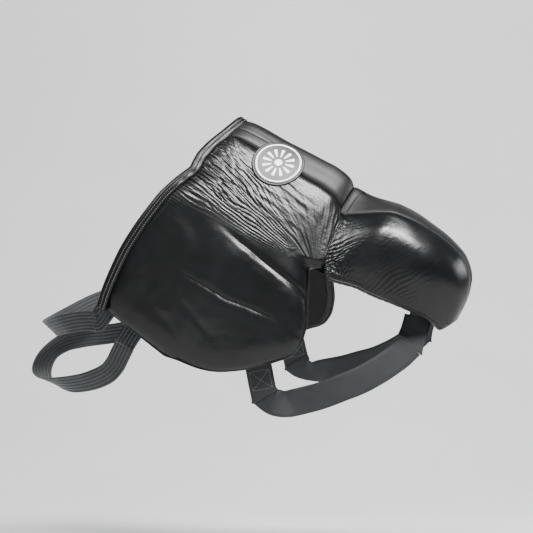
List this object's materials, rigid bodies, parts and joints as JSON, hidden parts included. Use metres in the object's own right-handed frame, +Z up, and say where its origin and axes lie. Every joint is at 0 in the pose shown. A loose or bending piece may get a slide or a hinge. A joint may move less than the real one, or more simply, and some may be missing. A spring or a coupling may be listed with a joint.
{
  "type": "groin protector",
  "caption": "Padded black leather groin protector: abdomen pad, hip wings, hard-shelled cup, leg straps and elastic waist bands behind.",
  "frame": {"origin": "centre of the waist opening on the centre plane, level with the waist edge at the front", "axes": "+Z up as worn, -Y the way the wearer faces, -X the wearer's right"},
  "size_m": [0.241, 0.4592, 0.397],
  "materials": {
    "leather": "semi-gloss black padded leather, fine grain",
    "binding_tape": "folded black binding, stitched",
    "lining": "matte black woven lining",
    "foam": "closed-cell foam, hidden",
    "cup_plastic": "moulded shell, hidden",
    "webbing": "black elastic webbing with fine cross ribs",
    "elastic": "black elastic with lengthwise ribs",
    "badge_print": "light print"
  },
  "bodies": {
    "front": {"abdomen_center_cover": "leather", "abdomen_foam": "foam", "abdomen_lining": "lining", "abdomen_side_cover_left": "leather", "abdomen_side_cover_right": "leather", "badge_disc": "leather", "badge_motif": "badge_print", "badge_ring": "badge_print", "waist_binding_front": "binding_tape"},
    "cup": {"crotch_webbing_left": "webbing", "crotch_webbing_right": "webbing", "cup_center_cover": "leather", "cup_foam": "foam", "cup_lining": "lining", "cup_rim_piping_left": "binding_tape", "cup_rim_piping_right": "binding_tape", "cup_shell": "cup_plastic", "cup_side_cover_left": "leather", "cup_side_cover_right": "leather"},
    "wing_right": {"hip_cover_right": "leather", "hip_foam_right": "foam", "hip_lining_right": "lining", "hip_piping_right": "binding_tape", "leg_tab_right": "webbing", "lower_band_end_right": "elastic", "upper_band_end_right": "elastic", "waist_binding_right": "binding_tape"},
    "wing_left": {"hip_cover_left": "leather", "hip_foam_left": "foam", "hip_lining_left": "lining", "hip_piping_left": "binding_tape", "leg_tab_left": "webbing", "lower_band_end_left": "elastic", "upper_band_end_left": "elastic", "waist_binding_left": "binding_tape"},
    "leg_strap_right": {"leg_strap_right": "webbing"},
    "leg_strap_left": {"leg_strap_left": "webbing"},
    "rear_band_lower": {"waist_band_lower": "elastic"},
    "rear_band_upper": {"waist_band_upper": "elastic"}
  },
  "joints": [
    {"name": "cup_flex", "type": "hinge", "parent": "front", "child": "cup", "pos_m": [0, -0.128, -0.17], "axis": [-1, 0, 0], "range_deg": [-3, 14]},
    {"name": "wing_right_flex", "type": "hinge", "parent": "front", "child": "wing_right", "pos_m": [-0.0669, -0.0678, -0.09], "axis": [0, 0, 1], "range_deg": [-4, 22]},
    {"name": "wing_left_flex", "type": "hinge", "parent": "front", "child": "wing_left", "pos_m": [0.0669, -0.0678, -0.09], "axis": [0, 0, -1], "range_deg": [-4, 22]},
    {"name": "leg_strap_right_swing", "type": "hinge", "parent": "front", "child": "leg_strap_right", "pos_m": [-0.038, -0.0671, -0.3275], "axis": [-0.3081, 0.7825, 0.5411], "range_deg": [-14, 14]},
    {"name": "leg_strap_left_swing", "type": "hinge", "parent": "front", "child": "leg_strap_left", "pos_m": [0.038, -0.0671, -0.3275], "axis": [0.3081, 0.7825, 0.5411], "range_deg": [-14, 14]},
    {"name": "lower_band_droop", "type": "hinge", "parent": "front", "child": "rear_band_lower", "pos_m": [0, 0.127, -0.0636], "axis": [1, 0, 0], "range_deg": [-22, 10]},
    {"name": "upper_band_droop", "type": "hinge", "parent": "front", "child": "rear_band_upper", "pos_m": [0, 0.127, -0.022], "axis": [1, 0, 0], "range_deg": [-8, 20]}
  ]
}
